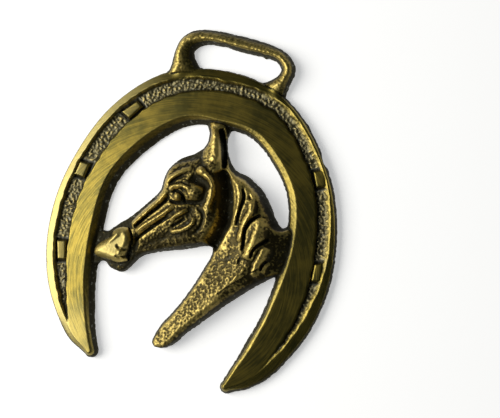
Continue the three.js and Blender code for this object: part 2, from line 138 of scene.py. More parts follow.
# Corners of the five nail heads, in the groove.
NAILS = [
    [(-32.6, 2.6), (-29.8, 3.0), (-28.8, -2.0), (-31.3, -2.4)],
    [(-30.9, 22.9), (-28.0, 22.6), (-28.8, 18.6), (-31.8, 19.0)],
    [(-23.4, 36.5), (-19.8, 40.2), (-17.9, 38.8), (-20.7, 35.0)],
    [(26.3, 30.9), (29.3, 32.0), (30.6, 27.8), (28.0, 26.9)],
    [(31.1, 9.3), (33.4, 10.0), (33.8, 5.2), (31.1, 4.7)],
]
# Outline of the head and neck. It runs on into the horseshoe at the muzzle, the ear and the mane.
HEAD = [
    (-23.0, 6.4), (-20.6, 7.2), (-18.9, 8.7), (-17.4, 10.2), (-15.2, 12.2), (-11.9, 16.3),
    (-9.7, 19.4), (-9.4, 22.4), (-8.5, 25.4), (-6.2, 28.1), (-3.0, 30.0), (-0.9, 32.2),
    (-0.5, 35.0), (-1.2, 38.5), (4.2, 38.5), (4.3, 34.0), (5.6, 30.4), (7.9, 27.8),
    (11.2, 26.8), (13.6, 25.4), (15.6, 23.9), (17.4, 21.7), (18.9, 19.5), (20.4, 17.3),
    (21.7, 16.2), (25.0, 15.8), (25.0, 5.4), (22.6, 4.6), (16.0, -1.0), (12.7, -4.2),
    (9.7, -7.3), (6.9, -10.4), (4.4, -13.0), (2.0, -16.0), (-0.4, -17.9), (-3.2, -18.0),
    (-3.9, -16.4), (-2.6, -12.6), (-0.6, -9.3), (1.3, -5.8), (3.4, -1.3), (5.0, 3.0),
    (6.1, 6.4), (5.9, 8.2), (4.2, 8.2), (2.0, 7.4), (-1.1, 6.3), (-4.6, 5.3), (-8.0, 4.1),
    (-10.8, 2.7), (-12.5, 0.5), (-13.6, -1.2), (-14.8, -2.0), (-16.6, -1.9), (-18.3, -1.3),
    (-19.8, -0.2), (-22.5, -0.9),
]
# The muzzle's flat top, which slopes down to the left: outline, height at x = 0, rise per
# millimetre, level of its foot and width of its rounded edge.
MUZZLE = [
    (-22.6, 1.6), (-21.6, 3.6), (-19.8, 5.2), (-18.8, 6.2), (-18.6, 7.4), (-17.4, 8.5),
    (-15.1, 9.0), (-13.8, 8.1), (-13.0, 6.6), (-13.0, 4.8), (-13.3, 3.4), (-13.6, 2.0),
    (-13.2, 0.9), (-15.1, -0.1), (-17.3, -0.1), (-19.6, 0.3), (-21.4, 0.6),
]
MUZZLE_Z, MUZZLE_RISE, MUZZLE_FOOT, MUZZLE_ROUND = 9.1, 0.225, 2.6, 1.9
# Swellings with a round section, along paths of x, y, radius and height. Fullness 0.5 is half an
# ellipse, and less is fuller.
FACE = [
    (0.40, [(-12.5, 6.5, 4.2, 4.5), (-9.0, 10.0, 5.6, 5.5), (-3.0, 14.6, 7.5, 6.6)]),
    (0.45, [(-12.0, 3.6, 3.4, 3.4), (-6.0, 7.4, 4.6, 4.6), (0.0, 10.8, 6.4, 6.1),
            (3.0, 14.4, 7.4, 6.7)]),
    (0.40, [(-3.0, 20.0, 8.0, 6.3), (1.0, 21.5, 8.3, 6.5)]),
    (0.50, [(-17.5, -0.2, 1.8, 2.9), (-15.0, -0.6, 2.0, 3.1), (-12.5, 1.4, 2.2, 3.3)]),
]
EAR = (0.6, [(2.5, 26.0, 4.6, 6.0), (2.0, 31.0, 3.6, 5.2), (1.4, 38.0, 2.8, 3.6)])
# Crest of the neck from the poll down to the chest: x, y, height, and fall per millimetre on its
# right and left.
CREST = np.array([
    (7.0, 28.0, 4.6, 0.70, 0.30), (11.2, 23.0, 6.3, 0.55, 0.34), (13.4, 19.2, 6.9, 0.50, 0.36),
    (15.3, 15.4, 7.1, 0.50, 0.37), (16.4, 11.8, 7.1, 0.55, 0.37), (16.7, 8.4, 6.9, 0.60, 0.37),
    (16.0, 5.2, 6.7, 0.70, 0.39), (14.0, 1.7, 6.4, 0.90, 0.42), (11.2, -2.0, 6.0, 1.10, 0.44),
    (8.5, -5.7, 5.5, 1.10, 0.44), (5.1, -9.5, 4.9, 1.10, 0.43), (1.7, -13.7, 4.2, 1.10, 0.40),
    (-0.6, -17.0, 3.3, 1.00, 0.40),
])
# Ridges, and grooves where the height is negative: left and right flank as the path is followed,
# height, share of the path over which each end fades, and path.
CARVING = [
    # valley between jaw and neck
    (1.5, 3.2, -2.7, 0.10, [(5.2, 27.1), (6.8, 24.6), (8.2, 21.4), (8.9, 18.0), (9.0, 14.5),
                            (8.1, 11.8), (7.1, 9.2), (6.4, 7.6)]),
    # temple, forelock and its lower edge
    (1.8, 1.6, -1.6, 0.30, [(-1.9, 23.9), (0.1, 23.1), (2.3, 22.6), (3.6, 21.4)]),
    (1.3, 0.9, 0.8, 0.25, [(-7.6, 20.8), (-6.6, 22.5), (-4.3, 24.5), (-1.9, 25.9)]),
    (0.6, 0.6, -0.7, 0.25, [(-6.6, 20.9), (-5.2, 22.6), (-3.3, 23.8)]),
    # roll behind the eye
    (1.0, 1.8, 1.4, 0.25, [(-0.8, 26.3), (1.1, 25.6), (2.9, 24.2), (3.9, 22.6), (4.4, 21.0),
                           (4.3, 18.9), (4.1, 17.4), (5.0, 16.0)]),
    # brow, lid and the crease under the eye
    (0.8, 0.9, 0.8, 0.20, [(-6.4, 19.6), (-5.6, 20.4), (-4.9, 20.8), (-3.5, 21.2), (-1.9, 20.9),
                           (-1.0, 20.1)]),
    (0.45, 0.45, -1.0, 0.20, [(-5.3, 19.2), (-4.6, 19.7), (-3.7, 19.6), (-2.8, 19.0), (-2.1, 18.1),
                              (-1.7, 17.5)]),
    (0.55, 0.6, -1.2, 0.15, [(-5.8, 17.2), (-4.3, 16.9), (-2.8, 17.1), (-1.1, 17.6), (0.6, 17.8),
                             (2.3, 18.3)]),
    # ridges and furrows along the nose and cheek
    (0.6, 2.0, 1.0, 0.12, [(-6.3, 19.6), (-7.8, 17.4), (-9.7, 15.0), (-11.5, 12.5), (-13.2, 10.4),
                           (-14.1, 9.4)]),
    (0.55, 0.6, -1.4, 0.12, [(-5.8, 18.2), (-7.1, 16.4), (-8.5, 14.7), (-10.2, 12.9), (-11.9, 10.9),
                             (-13.3, 9.2)]),
    (0.75, 0.9, 1.0, 0.12, [(-4.2, 15.9), (-6.3, 13.8), (-8.3, 12.0), (-10.6, 10.0), (-12.6, 8.0)]),
    (0.6, 0.6, -1.2, 0.12, [(-4.9, 13.3), (-7.1, 11.5), (-9.1, 9.6), (-11.1, 7.6), (-12.5, 6.0)]),
    (0.8, 0.9, 1.0, 0.20, [(-0.6, 15.8), (-2.1, 14.6), (-3.4, 13.5), (-4.3, 12.3)]),
    (0.5, 0.5, -1.0, 0.20, [(-0.9, 13.7), (-2.4, 12.3), (-3.9, 11.1)]),
    (0.8, 0.9, 0.9, 0.20, [(1.2, 14.4), (1.2, 12.9), (0.2, 11.7), (-1.3, 10.7), (-3.0, 10.0),
                           (-4.0, 9.6)]),
    (0.8, 0.8, -0.45, 0.20, [(1.4, 17.1), (3.2, 15.4), (3.4, 13.1), (2.4, 11.1), (0.6, 9.9)]),
    # nostril, mouth, step behind the muzzle
    (0.45, 0.45, -0.5, 0.20, [(-16.4, 4.4), (-16.0, 3.6), (-14.8, 3.4), (-13.7, 3.7)]),
    (0.4, 0.4, -0.6, 0.20, [(-16.3, 1.5), (-15.2, 1.3), (-14.0, 1.9)]),
    (0.8, 0.9, 0.5, 0.20, [(-18.9, 4.4), (-16.2, 7.3)]),
    (1.0, 1.0, -0.8, 0.20, [(-12.4, 8.0), (-12.0, 5.6), (-12.2, 3.6)]),
    # ridge, hollow and edges of the ear
    (0.8, 2.4, 0.9, 0.15, [(1.0, 36.6), (2.3, 34.2), (3.3, 31.5), (3.5, 29.5), (3.1, 28.0)]),
    (0.9, 0.9, -2.8, 0.12, [(2.5, 37.0), (3.3, 34.7), (4.2, 32.0), (4.9, 29.7), (5.6, 27.3)]),
    # locks of the mane and the cuts between them
    (1.6, 0.9, 0.8, 0.15, [(8.3, 25.5), (10.0, 23.5), (10.9, 20.9), (11.2, 18.5), (11.0, 16.0),
                           (11.3, 13.8)]),
    (0.7, 0.5, -1.1, 0.15, [(11.2, 23.4), (12.0, 21.1), (11.8, 18.7), (11.6, 16.5), (11.6, 14.2)]),
    (0.6, 0.6, 0.5, 0.30, [(13.5, 22.8), (14.1, 21.8), (14.5, 20.9)]),
    (0.6, 1.7, 1.1, 0.12, [(14.4, 21.3), (14.7, 19.8), (14.8, 18.1), (14.1, 16.2), (13.6, 14.4),
                           (13.5, 12.3), (13.4, 10.6)]),
    (0.6, 0.5, -1.7, 0.12, [(17.0, 17.9), (15.8, 17.0), (14.6, 15.5), (13.9, 13.6), (13.9, 11.9),
                            (14.1, 10.4), (14.2, 8.6)]),
    (2.4, 1.8, 1.2, 0.12, [(17.5, 17.4), (17.3, 15.8), (17.3, 14.1), (16.9, 11.9), (16.4, 10.1),
                           (15.9, 8.3), (15.8, 6.7)]),
    (0.6, 0.5, -1.4, 0.12, [(20.0, 12.7), (18.8, 11.7), (17.6, 10.4), (16.8, 9.0), (16.6, 7.2)]),
    (1.8, 1.2, 1.0, 0.12, [(19.7, 10.8), (19.2, 9.0), (18.7, 7.1), (18.3, 5.1), (18.0, 3.0)]),
    (0.5, 0.5, -1.0, 0.20, [(20.4, 7.4), (19.6, 6.3), (19.3, 4.9)]),
    (0.8, 0.7, 0.6, 0.25, [(21.1, 7.3), (20.3, 6.3), (20.0, 5.0), (19.7, 4.2)]),
    (0.45, 0.45, 0.5, 0.30, [(15.7, 5.1), (15.1, 3.6)]),
    (0.45, 0.45, 0.5, 0.30, [(14.5, 3.2), (13.6, 1.3)]),
    (0.45, 0.45, -0.5, 0.30, [(14.2, 7.2), (13.9, 5.5)]),
]
# Round swellings: x, y, radius, height and sharpness. Eyeball, hollow behind it, the bone behind
# the eye, the end of the forelock, the lip, and lumps on the neck.
KNOBS = [
    (-3.8, 18.4, 1.0, 1.2, 0.8), (-2.4, 17.9, 0.8, -0.4, 2), (0.0, 20.1, 2.8, 1.3, 1.5),
    (0.6, 25.7, 1.6, 0.9, 2), (-15.3, 2.5, 1.3, 0.5, 2), (8.8, 12.6, 2.0, 0.5, 2),
    (9.6, 8.2, 2.6, 0.5, 2), (5.6, 0.2, 2.2, 0.3, 2),
]
# Painted shade: darker spots on the cast skin, x, y, radius and amount. The bone behind the eye,
# the jaw, its side to the valley, and the back of the neck.
PAINTED_SHADE_SPOTS = [
    (0.5, 20.0, 2.8, 0.6), (-6.0, 6.2, 2.5, 0.5), (-1.0, 8.2, 2.5, 0.5), (3.5, 11.0, 2.6, 0.5),
    (6.2, 15.0, 2.2, 0.7), (6.4, 19.0, 2.2, 0.8), (6.0, 23.0, 2.0, 0.8), (19.6, 13.0, 2.5, 0.4),
    (17.0, 21.0, 2.5, 0.4), (12.0, -1.5, 2.0, 0.3), (18.6, 2.6, 2.5, 0.4), (-11.5, 3.0, 2.5, 0.5),
]
# Where the loop's feet run smoothly into the horseshoe: x, y and radius.
FEET = [(-9.8, 48.4, 2.6), (13.2, 48.0, 2.4)]
# Small losses from the outer edge: x, y, radius and depth. A negative depth is a bump.
NICKS = [
    (28.6, 34.2, 1.5, 0.55), (23.2, 41.5, 1.1, -0.2), (-35.8, 9.5, 1.6, 0.2), (35.4, -2.0, 1.4, 0.2),
    (9.4, 55.6, 0.55, -0.35), (-1.0, 57.2, 0.7, 0.25), (-34.0, -3.6, 1.2, 0.2), (13.2, 50.6, 0.8, -0.2),
]

# ---- Plan curves and distances --------------------------------------------------------------

GRID_X = np.arange(-38.0, 38.5, STEP)
GRID_Y = np.arange(-28.0, 63.0, STEP)
PLAN_X, PLAN_Y = np.meshgrid(GRID_X, GRID_Y)
WHOLE = (slice(None), slice(None))


def curve(points, per_span=8, closed=False):
    """A smooth line through the points, as rows of as many columns as they have."""
    p = np.array(points, float)
    if closed:
        p = np.vstack([p[-1:], p, p[:2]])
    else:
        p = np.vstack([2 * p[:1] - p[1:2], p, 2 * p[-1:] - p[-2:-1]])
    t = (np.arange(per_span) / per_span)[:, None]
    spans = [
        0.5 * (2 * b + (c - a) * t + (2 * a - 5 * b + 4 * c - d) * t ** 2
               + (3 * b - a - 3 * c + d) * t ** 3)
        for a, b, c, d in zip(p, p[1:], p[2:], p[3:])
    ]
    return np.vstack(spans + ([] if closed else [p[-2:-1]]))


def window(points, margin):
    """The rows and columns of the grid within margin of the points."""
    low, high = np.min(points, 0) - margin, np.max(points, 0) + margin
    rows = slice(*np.searchsorted(GRID_Y, (low[1], high[1])))
    return rows, slice(*np.searchsorted(GRID_X, (low[0], high[0])))


def nearest(line, area=WHOLE):
    """For each grid point: distance to the line, share of the way along it, and 1 on its left."""
    x, y = PLAN_X[area], PLAN_Y[area]
    best = np.full(x.shape, np.inf)
    along, side = np.zeros(x.shape), np.ones(x.shape)
    for i, ((ax, ay), (bx, by)) in enumerate(zip(line, line[1:])):
        dx, dy = bx - ax, by - ay
        share = np.clip(((x - ax) * dx + (y - ay) * dy) / (dx * dx + dy * dy + 1e-12), 0, 1)
        off_x, off_y = x - ax - share * dx, y - ay - share * dy
        square = off_x ** 2 + off_y ** 2
        closer = square < best
        best[closer] = square[closer]
        along[closer] = (i + share[closer]) / (len(line) - 1)
        side[closer] = np.sign(dx * off_y - dy * off_x)[closer]
    return np.sqrt(best), along, side


def depth_in(outline):
    """Distance inside the outline, negative outside it."""
    ring = np.vstack([outline, outline[:1]])
    inside = np.zeros(PLAN_X.shape, bool)
    for (ax, ay), (bx, by) in zip(ring, ring[1:]):
        if ay != by:
            crosses = (ay > PLAN_Y) != (by > PLAN_Y)
            inside ^= crosses & (PLAN_X < (bx - ax) * (PLAN_Y - ay) / (by - ay) + ax)
    return np.where(inside, 1, -1) * nearest(ring)[0]


def smoothstep(start, end, value):
    t = np.clip((value - start) / (end - start), 0, 1)
    return t * t * (3 - 2 * t)


def soft_max(a, b, softness=0.5):
    return (a + b + np.hypot(a - b, softness)) / 2


def soft_min(a, b, softness=0.5):
    return -soft_max(-a, -b, softness)


def blend(share, at_zero, at_one):
    return at_zero * (1 - share) + at_one * share


def arch(share):
    """Rises from 0 to 1 like a quarter of a wave."""
    return np.sin(np.pi / 2 * np.clip(share, 0, 1))


# ---- Noise and blur over the grid -----------------------------------------------------------

FREQUENCY = np.hypot(*np.meshgrid(np.fft.rfftfreq(len(GRID_X), STEP),
                                  np.fft.fftfreq(len(GRID_Y), STEP)))


def filtered(values, gain):
    return np.fft.irfft2(np.fft.rfft2(values) * gain, values.shape)


def blur_gain(radius):
    return np.exp(-2 * (np.pi * radius * FREQUENCY) ** 2)


def noise(seed, size):
    """Smooth noise with features of about that size and a deviation of 1."""
    white = np.random.default_rng(seed).standard_normal(PLAN_X.shape)
    made = filtered(white, blur_gain(size * 0.3) - blur_gain(size * 0.75))
    return made / made.std()


def rough(name):
    seed, size, height = ROUGHNESS[name]
    return height * noise(seed, size)


def blurred(values, radius, inside):
    """values blurred over the casting alone."""
    gain = blur_gain(radius)
    return filtered(values * inside, gain) / np.maximum(filtered(inside * 1.0, gain), 0.02)


# ---- Horseshoe ------------------------------------------------------------------------------

def at_station(table, along, column):
    return np.interp(along * (len(table) - 1), np.arange(len(table)), table[:, column])


def nose(start, end):
    """Points of a half ellipse that rounds a tip off, from start round to end."""
    middle, half = (start + end) / 2, (start - end) / 2
    reach = np.array([half[1], -half[0]]) / np.hypot(*half) * NOSE_LENGTH
    turns = np.linspace(0, np.pi, 9)[1:-1, None]
    return middle + half * np.cos(turns) + reach * np.sin(turns)


def nail_depth(corners, grow=0.0):
    """Distance inside a four-cornered block, negative outside."""
    ring = np.array(corners, float)
    middle = ring.mean(0)
    depth = np.full(PLAN_X.shape, np.inf)
    for a, b in zip(ring, np.roll(ring, -1, 0)):
        normal = np.array([b[1] - a[1], a[0] - b[0]]) / np.hypot(*(b - a))
        normal *= np.sign(normal @ (middle - a))
        depth = np.minimum(depth, (PLAN_X - a[0]) * normal[0] + (PLAN_Y - a[1]) * normal[1] + grow)
    return depth


def horseshoe(zones):
    """Heights of the horseshoe, and its outline."""
    outer, inner = curve(SHOE[:, :2]), curve(SHOE[:, 2:4])
    outline = np.vstack([outer, nose(outer[-1], inner[-1]), inner[::-1], nose(inner[0], outer[0])])
    depth = depth_in(outline)
    from_outer, along, _ = nearest(outer)
    from_inner, along_inner, _ = nearest(inner)
    rim, groove = at_station(SHOE, along, 4), at_station(SHOE, along, 5)
    wall, foot = at_station(SHOE, along_inner, 6), at_station(SHOE, along_inner, 7)
    opened = smoothstep(0, 1.2, groove)
    web = WEB_Z - WEB_FALL * np.clip(from_inner - wall, 0, 9)
    # the rim's bevel, and the groove between its steep inner wall and the web's edge
    grooved = from_outer - rim + rough("rim line")
    reach = blend(smoothstep(*RIGHT_ARM, PLAN_X), *GROOVE_WALL)
    in_groove = (smoothstep(0, 1, (grooved + GROOVE_LIP) / (reach + GROOVE_LIP))
                 * (1 - smoothstep(*WEB_EDGE, grooved - groove)) * opened)
    rim_top = blend(opened, web, RIM_Z)
    steep = np.clip(from_outer / RIM_STEP, 0, 1) ** 0.7
    gentle = np.clip(from_outer / np.maximum(rim, 0.5), 0, 1)
    bevel = EDGE_Z + (rim_top - EDGE_Z) * (0.55 * steep + 0.45 * gentle)
    lip = np.where(from_outer < rim + groove * 0.5, rim_top, web)
    z = np.where(from_outer < rim, np.minimum(bevel, lip), lip)
    z = z - (z - GROOVE_Z) * in_groove
    # the inner wall: a steep foot, then a rounded chamfer up to the web
    chamfer_z = web - CHAMFER * (wall - foot)
    low_wall = EDGE_Z + (chamfer_z - EDGE_Z) * np.clip(from_inner / foot, 0, 1) ** 0.85
    up_chamfer = np.clip((from_inner - foot) / (wall - foot), 0, 1)
    high_wall = chamfer_z + (web - chamfer_z) * (0.6 * up_chamfer + 0.4 * arch(up_chamfer))
    inner_wall = np.where(from_inner < foot, low_wall, high_wall)
    z = np.where(from_inner < wall, np.minimum(z, inner_wall), z)
    blocks, pale = np.zeros(z.shape), np.zeros(z.shape)
    for corners in NAILS:
        slot = smoothstep(-0.1, 0.3, nail_depth(corners, SLOT_MARGIN)) * in_groove
        z = z - (z - SLOT_Z) * slot * (z < web - 0.2)
        end_wall = smoothstep(0.3, 0.0, abs(nail_depth(corners, PALE_MARGIN)))
        pale = np.maximum(pale, end_wall * in_groove)
        block = nail_depth(corners)
        head = soft_min(SLOT_Z + NAIL_SIDE * block, NAIL_Z, 0.35)
        z = np.where(block > 0, np.maximum(z, head), z)
        blocks = np.maximum(blocks, smoothstep(-0.1, 0.25, block))
    z = np.minimum(z, EDGE_Z + (WEB_Z - EDGE_Z) * arch(depth / TIP_ROUND) ** 0.8)
    zones.update(groove=in_groove, from_outer=from_outer, rim=rim, from_inner=from_inner, wall=wall,
                 blocks=blocks, pale=pale)
    return z, depth


# ---- Strap loop -----------------------------------------------------------------------------

def strap_loop(zones):
    outer, slot = curve(LOOP[:, :2], 6), curve(LOOP[:, 2:4], 6)
    depth = depth_in(np.vstack([outer, slot[::-1]]))
    from_outer, along, _ = nearest(outer)
    from_slot = nearest(slot)[0]
    across = from_outer / (from_outer + from_slot + 1e-9)
    ridge = at_station(LOOP, along, 4)
    share = np.where(across < ridge, across / ridge, (1 - across) / (1 - ridge))
    z = EDGE_Z + (LOOP_Z - EDGE_Z) * arch(share) ** 0.75
    zones.update(loop=depth, across=across)
    return z, depth


# ---- Head and neck --------------------------------------------------------------------------

def along_line(line, distance_along, column):
    return np.interp(distance_along * (len(line) - 1), np.arange(len(line)), line[:, column])


def swelling(fullness, path):
    line = curve(path, 6)
    distance, along, _ = nearest(line[:, :2])
    radius, height = along_line(line, along, 2), along_line(line, along, 3)
    return height * np.clip(1 - (distance / radius) ** 2, 0, 1) ** fullness


def neck_roof():
    """The neck as two slopes from its crest."""
    line = curve(CREST, 6)
    distance, along, side = nearest(line[:, :2])
    fall = np.where(side > 0, along_line(line, along, 3), along_line(line, along, 4))
    return along_line(line, along, 2) - fall * (np.hypot(distance, CREST_ROUND) - CREST_ROUND)


def carve(z, left, right, height, taper, path):
    """Adds a ridge or groove to z."""
    area = window(path, max(left, right))
    distance, along, side = nearest(curve(path, 6), area)
    flank = np.clip(1 - (distance / np.where(side > 0, left, right)) ** 2, 0, 1)
    ends = np.clip(np.minimum(along, 1 - along) / taper, 0, 1) ** 0.7
    z[area] += height * flank ** 2 * ends


def head_and_neck(zones):
    depth = depth_in(curve(HEAD, 6, closed=True))
    face = np.full(depth.shape, HEAD_FLOOR)
    for form in FACE:
        face = soft_max(face, swelling(*form), 0.3)
    z = np.maximum(soft_max(face, neck_roof(), 0.3), swelling(*EAR))
    muzzle_depth = depth_in(curve(MUZZLE, 4, closed=True))
    muzzle_top = MUZZLE_Z + MUZZLE_RISE * PLAN_X
    muzzle = MUZZLE_FOOT + (muzzle_top - MUZZLE_FOOT) * arch(muzzle_depth / MUZZLE_ROUND) ** 0.6
    on_muzzle = muzzle_depth > 0
    z = np.where(on_muzzle, np.maximum(muzzle, np.minimum(z, MUZZLE_FOOT)), z)
    for stroke in CARVING:
        carve(z, *stroke)
    for x, y, radius, height, sharpness in KNOBS:
        square = ((PLAN_X - x) ** 2 + (PLAN_Y - y) ** 2) / radius ** 2
        z += height * np.clip(1 - square, 0, 1) ** sharpness
    # edges: a plain bevel where they face up or left, and a rounded fall where they face down
    slope_y, slope_x = np.gradient(filtered(np.clip(depth, -4, 4), blur_gain(0.5)), STEP)
    faces_down = -(LOWER_RIGHT[0] * slope_x + LOWER_RIGHT[1] * slope_y)
    low_side = smoothstep(0.0, 0.6, faces_down)
    rolled = ROLL_Z + ROLL_HEIGHT * np.sqrt(1 - (1 - np.clip(depth / ROLL_WIDTH, 0, 1)) ** 2)
    bevelled = BEVEL_Z + BEVEL * np.clip(depth, 0, 9)
    z = soft_min(z, blend(low_side, bevelled, np.where(depth < ROLL_WIDTH, rolled, 9.0)), 0.6)
    zones["muzzle"] = muzzle_depth
    return z, depth


# ---- The casting ----------------------------------------------------------------------------

def casting():
    """(heights, depth inside the outline, zones) over the grid."""
    zones = {}
    parts = [horseshoe(zones), strap_loop(zones), head_and_neck(zones)]
    layers = [np.where(depth > 0, height, OUTSIDE) for height, depth in parts]
    z, owner = np.max(layers, 0), np.argmax(layers, 0)
    on_shoe, on_loop, on_head = owner == 0, owner == 1, owner == 2
    plan = soft_max(soft_max(parts[0][1], parts[1][1], 0.5), parts[2][1], 0.5)
    for x, y, radius, depth in NICKS:
        plan = plan - depth * np.exp(-((PLAN_X - x) ** 2 + (PLAN_Y - y) ** 2) / radius ** 2)
    mean_loss, most = EDGE_LOSS
    ragged = np.clip(mean_loss + rough("ragged edge") + rough("wavy edge"), 0, most)
    plan = plan - ragged * (plan > -1)
    z = np.maximum(z, EDGE_Z)
    for x, y, radius in FEET:
        share = np.exp(-((PLAN_X - x) ** 2 + (PLAN_Y - y) ** 2) / radius ** 2)
        z = blend(share, z, np.maximum(blurred(z, 0.8, plan > 0), 0.8 * z))
    # how rough and tarnished the cast skin is, and where the brass is painted bright: painted light
    # on the left rim, tip and nail heads, and on the rubbed muzzle
    on_muzzle = smoothstep(0.2, 1.2, zones["muzzle"])
    smooth_spots = np.maximum(on_muzzle, zones["blocks"])
    cast = np.where(on_head, SKIN["head"], np.where(on_loop, SKIN["loop"], 0.0))
    cast = cast * (1 - SKIN_WORN_OFF * smooth_spots)
    on_wall = on_shoe * smoothstep(0.3, -0.5, zones["from_inner"] - zones["wall"])
    cast = filtered(np.maximum(cast, SKIN["inner wall"] * on_wall), blur_gain(0.4))
    groove = zones["groove"] * (1 - zones["blocks"]) * on_shoe
    # painted light: grows towards the left, the lamp's side
    left = smoothstep(*LEFT_ARM, PLAN_X)
    on_rim = smoothstep(0.4, -0.4, zones["from_outer"] - zones["rim"]) * on_shoe * left
    shine = np.maximum(LIT_AND_RUBBED["muzzle"] * on_muzzle, LIT_AND_RUBBED["left rim"] * on_rim)
    tip = smoothstep(*LEFT_TIP, PLAN_Y) * left * on_shoe
    pale_spots = np.maximum(tip, zones["blocks"] * left)
    shine = np.maximum(shine, LIT_AND_RUBBED["left tip and nails"] * pale_spots)
    zones.update(cast=cast, grain=groove, shine=filtered(shine, blur_gain(0.3)))
    z = z + rough("groove") * groove + (rough("skin") + rough("lumps")) * cast
    return z, plan, zones


heights, plan_depth, zones = casting()

# ---- Mesh -----------------------------------------------------------------------------------

WALL_ROWS = [(0.16, 0.0), (0.0, 0.12)]   # height and inset of the wall's lower rows
BACK_STEP = 0.9                          # distance between the flat back's inner points
BACK_MARGIN = 0.6                        # and how far they stay from its edge
SHARP_ANGLE = math.radians(62)


def grid_values(values, points):
    """values of the grid read between its points."""
    column = (points[:, 0] - GRID_X[0]) / STEP
    row = (points[:, 1] - GRID_Y[0]) / STEP
    i, j = row.astype(int), column.astype(int)
    v, u = row - i, column - j
    return ((values[i, j] * (1 - u) + values[i, j + 1] * u) * (1 - v)
            + (values[i + 1, j] * (1 - u) + values[i + 1, j + 1] * u) * v)


def top_surface(z, plan):
    """Points, triangles and the outline's next-point table of the surface where plan > 0."""
    inside = plan > 0
    count = int(inside.sum())
    number = np.full(inside.shape, -1)
    number[inside] = np.arange(count)
    points = [np.column_stack([PLAN_X[inside], PLAN_Y[inside], z[inside]])]
    crossing = {}
    for down, right in ((0, 1), (1, 0)):
        a = plan[: plan.shape[0] - down, : plan.shape[1] - right]
        b = plan[down:, right:]
        rows, columns = np.nonzero((a > 0) != (b > 0))
        share = np.clip(a[rows, columns] / (a[rows, columns] - b[rows, columns]), 0.03, 0.97)
        x = GRID_X[columns] + share * STEP * right
        y = GRID_Y[rows] + share * STEP * down
        points.append(np.column_stack([x, y, np.full(len(x), EDGE_Z)]))
        for row, column in zip(rows, columns):
            crossing[down, row, column] = count
            count += 1
    full = inside[:-1, :-1] & inside[1:, :-1] & inside[:-1, 1:] & inside[1:, 1:]
    a, b = number[:-1, :-1][full], number[:-1, 1:][full]
    d, c = number[1:, :-1][full], number[1:, 1:][full]
    heights = points[0][:, 2]
    first = (abs(heights[a] - heights[c]) < abs(heights[b] - heights[d]))[:, None]
    triangles = [
        np.where(first, np.column_stack([a, b, c]), np.column_stack([a, b, d])),
        np.where(first, np.column_stack([a, c, d]), np.column_stack([b, c, d])),
    ]
    following, fans = {}, []
    some = (inside[:-1, :-1].astype(int) + inside[1:, :-1] + inside[:-1, 1:] + inside[1:, 1:])
    for row, column in zip(*np.nonzero((some > 0) & ~full)):
        corners = [(row, column), (row, column + 1), (row + 1, column + 1), (row + 1, column)]
        edges = [(0, row, column), (1, row, column + 1), (0, row + 1, column), (1, row, column)]
        polygon, leaving = [], []
        for k, corner in enumerate(corners):
            if inside[corner]:
                polygon.append(number[corner])
            if edges[k] in crossing:
                polygon.append(crossing[edges[k]])
                if inside[corner]:
                    leaving.append(len(polygon) - 1)
        for k in leaving:
            following[polygon[k]] = polygon[(k + 1) % len(polygon)]
        fans += [(polygon[0], polygon[k], polygon[k + 1]) for k in range(1, len(polygon) - 1)]
    return np.vstack(points), np.vstack(triangles + [np.array(fans)]), following


def within_rings(faces, sides):
    """The faces that lie left of the sides, found by spreading from them."""
    owner = {}
    for k, face in enumerate(faces):
        for edge in zip(face, face[1:] + face[:1]):
            owner[edge] = k
    walls = set(sides)
    waiting, kept = [owner[side] for side in sides], set()
    while waiting:
        k = waiting.pop()
        if k not in kept:
            kept.add(k)
            for a, b in zip(faces[k], faces[k][1:] + faces[k][:1]):
                if (a, b) not in walls and (b, a) in owner:
                    waiting.append(owner[b, a])
    return [faces[k] for k in sorted(kept)]


def casting_mesh(z, plan):
    """(points, triangles) of the closed casting in drawing millimetres, and how many are on top."""
    points, triangles, following = top_surface(z, plan)
    top_count = len(points)
    starts = np.array(list(following))
    ends = np.array([following[k] for k in starts])
    slope_y, slope_x = np.gradient(plan, STEP)
    edge = points[starts]
    inward = np.column_stack([grid_values(slope_x, edge), grid_values(slope_y, edge)])
    inward /= np.linalg.norm(inward, axis=1)[:, None]
    place = {point: k for k, point in enumerate(starts)}
    after = np.array([place[k] for k in ends])
    upper = starts
    for height, inset in WALL_ROWS:
        row = np.column_stack([edge[:, :2] + inset * inward, np.full(len(edge), height)])
        lower = len(points) + np.arange(len(edge))
        points = np.vstack([points, row])
        triangles = np.vstack([
            triangles,
            np.column_stack([upper[after], upper, lower]),
            np.column_stack([upper[after], lower, lower[after]]),
        ])
        upper = lower
    rim = points[upper, :2]
    xs, ys = np.meshgrid(np.arange(GRID_X[1], GRID_X[-2], BACK_STEP),
                         np.arange(GRID_Y[1], GRID_Y[-2], BACK_STEP))
    spots = np.column_stack([xs.ravel(), ys.ravel()])
    spots = spots[grid_values(plan, spots) > BACK_MARGIN]
    flat = np.vstack([rim, spots])
    sides = [(int(a), int(b)) for a, b in enumerate(after)]
    made = delaunay_2d_cdt([Vector(p) for p in flat], sides, [], 0, 1e-7)
    number = np.array([min(sources) for sources in made[3]])
    faces = within_rings([[int(number[k]) for k in face] for face in made[2]], sides)
    extra = len(points) + np.arange(len(spots))
    points = np.vstack([points, np.column_stack([spots, np.zeros(len(spots))])])
    names = np.concatenate([upper, extra])
    back = names[np.array(faces)]
    return points, np.vstack([triangles, back[:, ::-1]]), top_count


points, triangles, top_count = casting_mesh(heights, plan_depth)

# the drawing's middle goes to the origin, and the mesh stays inside the solid's box
low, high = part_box("horse_brass")
low, high = np.array(low) * 1000, np.array(high) * 1000
middle = (points.min(0) + points.max(0)) / 2
placed = points - [middle[0], middle[1], 0]
placed = np.clip(placed, low, high) / 1000

mesh = bpy.data.meshes.new("casting")
mesh.from_pydata(placed.tolist(), [], triangles.tolist())
mesh.validate()
mesh.shade_smooth()
mesh.set_sharp_from_angle(angle=SHARP_ANGLE)
casting_object = bpy.data.objects.new("casting", mesh)
bpy.context.scene.collection.objects.link(casting_object)


